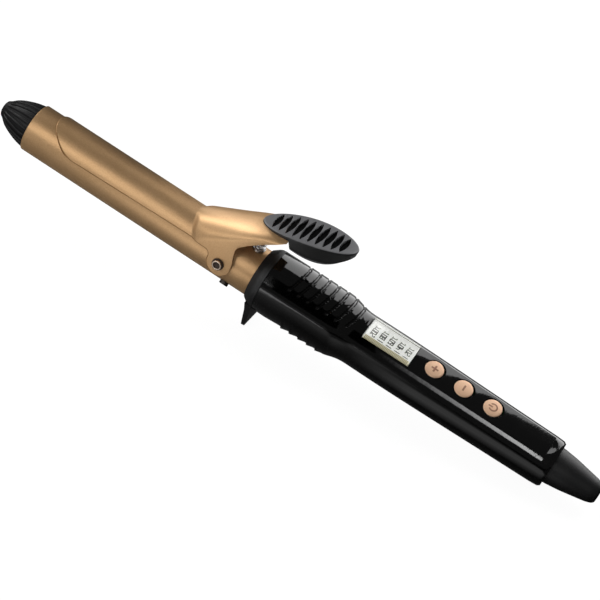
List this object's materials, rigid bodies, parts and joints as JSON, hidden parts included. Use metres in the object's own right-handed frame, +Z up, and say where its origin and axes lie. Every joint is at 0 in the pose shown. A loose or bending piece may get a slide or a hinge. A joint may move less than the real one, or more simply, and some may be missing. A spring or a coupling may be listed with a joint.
{
  "type": "curling iron",
  "caption": "Curling iron with a heated bronze barrel, sprung hair clamp with thumb rest, grooved black handle with display and keys, stand foot and turning cord inlet.",
  "frame": {"origin": "centre of the bounding box in plan, on the table under the stand foot and the rear ring", "axes": "+X along the iron from the cool tip to the cord inlet, +Z up from the table, -Y the side that the display is turned to"},
  "size_m": [0.3454, 0.0328, 0.0656],
  "materials": {
    "tip_plastic": "moulded matt black",
    "bronze_barrel": "satin bronze coated tube",
    "bronze_clamp": "satin bronze coated stamping",
    "spreader_aluminium": "extruded",
    "heater_ceramic": "pressed and fired",
    "sensor_glass": "fused bead",
    "fuse_metal": "plated can",
    "lead_insulation": "extruded sleeve",
    "insulator_plastic": "moulded, heat resistant",
    "bush_brass": "turned",
    "fastener_steel": "plated",
    "screw_chrome": "polished",
    "rest_plastic": "moulded satin black",
    "collar_plastic": "moulded matt black",
    "handle_gloss": "moulded gloss black",
    "display_lens": "clear moulded lens",
    "lcd_film": "printed display",
    "frame_plastic": "moulded",
    "board_laminate": "etched laminate",
    "capacitor_can": "sleeved can",
    "switch_plastic": "moulded",
    "button_rose_gold": "satin rose gold plating",
    "boot_rubber": "moulded matt black",
    "spring_steel": "wound wire"
  },
  "bodies": {
    "handle": {"cool_tip": "tip_plastic", "barrel": "bronze_barrel", "heat_spreader_upper": "spreader_aluminium", "heat_spreader_lower": "spreader_aluminium", "ptc_heater": "heater_ceramic", "thermistor": "sensor_glass", "thermal_fuse": "fuse_metal", "heater_leads": "lead_insulation", "tip_insulator": "heater_ceramic", "barrel_insulator": "insulator_plastic", "pivot_block": "insulator_plastic", "pivot_bushes": "bush_brass", "pivot_washers": "fastener_steel", "barrel_screws": "fastener_steel", "spring_seat": "fastener_steel", "pivot_screw_left": "screw_chrome", "pivot_screw_right": "screw_chrome", "front_collar": "collar_plastic", "stand_foot": "collar_plastic", "handle_upper_shell": "handle_gloss", "handle_lower_shell": "handle_gloss", "shell_screws": "fastener_steel", "display_window": "display_lens", "lcd_panel": "lcd_film", "lcd_frame": "frame_plastic", "main_board": "board_laminate", "triac": "frame_plastic", "capacitor": "capacitor_can", "tact_switches": "switch_plastic", "end_ring": "handle_gloss", "swivel_retainer": "fastener_steel", "slip_rings": "bush_brass", "brush_holder": "frame_plastic", "clamp_spring": "spring_steel"},
    "clamp_arm": {"clamp": "bronze_clamp", "thumb_rest": "rest_plastic", "thumb_rest_screw": "fastener_steel"},
    "key_plus": {"button_plus": "button_rose_gold"},
    "key_minus": {"button_minus": "button_rose_gold"},
    "key_power": {"button_power": "button_rose_gold"},
    "cord_swivel": {"swivel_boot": "boot_rubber"}
  },
  "joints": [
    {"name": "clamp_hinge", "type": "hinge", "parent": "handle", "child": "clamp_arm", "pos_m": [-0.03831, 0, 0.02961], "axis": [0, 1, 0], "range_deg": [0, 17], "stiffness_Nm_per_rad": 0.3, "springref_deg": -11.46, "deforming": ["clamp_spring"]},
    {"name": "press_plus", "type": "slide", "parent": "handle", "child": "key_plus", "axis": [-0.0794, 0.309, -0.9477], "range_m": [0, 0.0008], "stiffness_N_per_m": 400, "springref_m": -0.001},
    {"name": "press_minus", "type": "slide", "parent": "handle", "child": "key_minus", "axis": [-0.0794, 0.309, -0.9477], "range_m": [0, 0.0008], "stiffness_N_per_m": 400, "springref_m": -0.001},
    {"name": "press_power", "type": "slide", "parent": "handle", "child": "key_power", "axis": [-0.0794, 0.309, -0.9477], "range_m": [0, 0.0008], "stiffness_N_per_m": 400, "springref_m": -0.001},
    {"name": "cord_swivel_turn", "type": "hinge", "parent": "handle", "child": "cord_swivel", "pos_m": [0.15715, 0, 0.01143], "axis": [0.9965, 0, -0.0835], "continuous": true}
  ]
}
